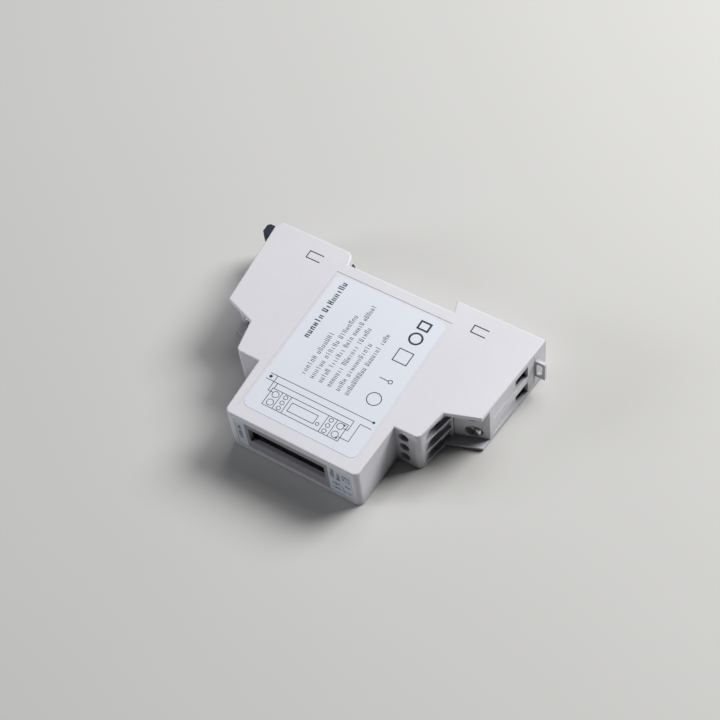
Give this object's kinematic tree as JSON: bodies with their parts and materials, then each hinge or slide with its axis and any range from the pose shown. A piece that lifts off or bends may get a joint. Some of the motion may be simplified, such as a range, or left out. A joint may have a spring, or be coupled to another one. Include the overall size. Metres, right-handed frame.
{
  "type": "single-phase electricity meter",
  "caption": "Narrow rail-mounted electricity meter: display in its nose, screw terminals with rising cages at both ends, sprung rail latch and a printed side label.",
  "frame": {"origin": "middle of the plain side that the meter lies on, at the centre of its box", "axes": "+X along the length towards the end with the eyelet, +Y from the display towards the rail, +Z out of the label side"},
  "size_m": [0.0974, 0.0634, 0.0175],
  "materials": {
    "case_plastic": "fine satin",
    "film": "satin print",
    "label": "satin",
    "clear_plastic": "clear",
    "smoked_plastic": "smoked",
    "display_glass": "grey-green",
    "light_guide": "milky",
    "board": "solder mask",
    "black_plastic": "matt",
    "lamp": "gloss",
    "yellow_plastic": "gloss",
    "can_sleeve": "gloss sleeve",
    "blue_coating": "gloss",
    "ceramic": "matt",
    "plated_steel": "zinc plated",
    "screw_steel": "nickel plated",
    "latch_plastic": "fine satin",
    "brass": "tin-free",
    "shunt_alloy": "copper alloy"
  },
  "bodies": {
    "meter": {"base_case": "case_plastic", "label_side_cover": "case_plastic", "front_film": "film", "side_label": "label", "display_lens": "smoked_plastic", "display_glass": "display_glass", "display_backlight": "light_guide", "display_board": "board", "main_board": "board", "board_header": "black_plastic", "pulse_lamp": "lamp", "light_pipe": "clear_plastic", "metering_chip": "black_plastic", "microcontroller": "black_plastic", "optocoupler": "black_plastic", "mains_capacitor": "yellow_plastic", "storage_capacitor": "can_sleeve", "varistor": "blue_coating", "dropper_resistor": "ceramic", "crystal": "plated_steel", "latch_spring": "plated_steel", "neutral_bar": "brass", "line_bar_left": "brass", "line_bar_right": "brass", "current_shunt": "shunt_alloy", "main_terminal_block_left": "case_plastic", "main_terminal_block_right": "case_plastic", "aux_terminal_block": "case_plastic", "shoulder_block_left": "case_plastic", "aux_contact_1": "brass", "aux_contact_2": "brass", "aux_contact_3": "brass"},
    "neutral_screw_left": {"neutral_screw_left": "screw_steel"},
    "neutral_cage_left": {"neutral_cage_left": "plated_steel"},
    "line_screw_left": {"line_screw_left": "screw_steel"},
    "line_cage_left": {"line_cage_left": "plated_steel"},
    "neutral_screw_right": {"neutral_screw_right": "screw_steel"},
    "neutral_cage_right": {"neutral_cage_right": "plated_steel"},
    "line_screw_right": {"line_screw_right": "screw_steel"},
    "line_cage_right": {"line_cage_right": "plated_steel"},
    "aux_screw_1": {"aux_screw_1": "screw_steel"},
    "aux_cage_1": {"aux_cage_1": "plated_steel"},
    "aux_screw_2": {"aux_screw_2": "screw_steel"},
    "aux_cage_2": {"aux_cage_2": "plated_steel"},
    "aux_screw_3": {"aux_screw_3": "screw_steel"},
    "aux_cage_3": {"aux_cage_3": "plated_steel"},
    "latch": {"rail_latch": "latch_plastic"}
  },
  "joints": [
    {"name": "neutral_screw_left_turn", "type": "hinge", "parent": "meter", "child": "neutral_screw_left", "pos_m": [-0.03745, 0.0023, 0.00475], "axis": [0, 1, 0], "range_deg": [0, 2880]},
    {"name": "neutral_cage_left_rise", "type": "slide", "parent": "meter", "child": "neutral_cage_left", "axis": [0, -1, 0], "range_m": [0, 0.0056]},
    {"name": "line_screw_left_turn", "type": "hinge", "parent": "meter", "child": "line_screw_left", "pos_m": [-0.03745, 0.0023, 0.01275], "axis": [0, 1, 0], "range_deg": [0, 2880]},
    {"name": "line_cage_left_rise", "type": "slide", "parent": "meter", "child": "line_cage_left", "axis": [0, -1, 0], "range_m": [0, 0.0056]},
    {"name": "neutral_screw_right_turn", "type": "hinge", "parent": "meter", "child": "neutral_screw_right", "pos_m": [0.03895, 0.0023, 0.00475], "axis": [0, 1, 0], "range_deg": [0, 2880]},
    {"name": "neutral_cage_right_rise", "type": "slide", "parent": "meter", "child": "neutral_cage_right", "axis": [0, -1, 0], "range_m": [0, 0.0056]},
    {"name": "line_screw_right_turn", "type": "hinge", "parent": "meter", "child": "line_screw_right", "pos_m": [0.03895, 0.0023, 0.01275], "axis": [0, 1, 0], "range_deg": [0, 2880]},
    {"name": "line_cage_right_rise", "type": "slide", "parent": "meter", "child": "line_cage_right", "axis": [0, -1, 0], "range_m": [0, 0.0056]},
    {"name": "aux_screw_1_turn", "type": "hinge", "parent": "meter", "child": "aux_screw_1", "pos_m": [0.02595, -0.0118, 0.00365], "axis": [0, 1, 0], "range_deg": [0, 1600]},
    {"name": "aux_cage_1_rise", "type": "slide", "parent": "meter", "child": "aux_cage_1", "axis": [0, -1, 0], "range_m": [0, 0.002]},
    {"name": "aux_screw_2_turn", "type": "hinge", "parent": "meter", "child": "aux_screw_2", "pos_m": [0.02595, -0.0118, 0.00875], "axis": [0, 1, 0], "range_deg": [0, 1600]},
    {"name": "aux_cage_2_rise", "type": "slide", "parent": "meter", "child": "aux_cage_2", "axis": [0, -1, 0], "range_m": [0, 0.002]},
    {"name": "aux_screw_3_turn", "type": "hinge", "parent": "meter", "child": "aux_screw_3", "pos_m": [0.02595, -0.0118, 0.01385], "axis": [0, 1, 0], "range_deg": [0, 1600]},
    {"name": "aux_cage_3_rise", "type": "slide", "parent": "meter", "child": "aux_cage_3", "axis": [0, -1, 0], "range_m": [0, 0.002]},
    {"name": "latch_slide", "type": "slide", "parent": "meter", "child": "latch", "axis": [-1, 0, 0], "range_m": [0, 0.003], "stiffness_N_per_m": 1500, "springref_m": -0.002}
  ],
  "couplings": [
    {"joint": "neutral_screw_left_turn", "follows": "neutral_cage_left_rise", "rad_per_m": 8975.9},
    {"joint": "line_screw_left_turn", "follows": "line_cage_left_rise", "rad_per_m": 8975.9},
    {"joint": "neutral_screw_right_turn", "follows": "neutral_cage_right_rise", "rad_per_m": 8975.9},
    {"joint": "line_screw_right_turn", "follows": "line_cage_right_rise", "rad_per_m": 8975.9},
    {"joint": "aux_screw_1_turn", "follows": "aux_cage_1_rise", "rad_per_m": 13963},
    {"joint": "aux_screw_2_turn", "follows": "aux_cage_2_rise", "rad_per_m": 13963},
    {"joint": "aux_screw_3_turn", "follows": "aux_cage_3_rise", "rad_per_m": 13963}
  ]
}
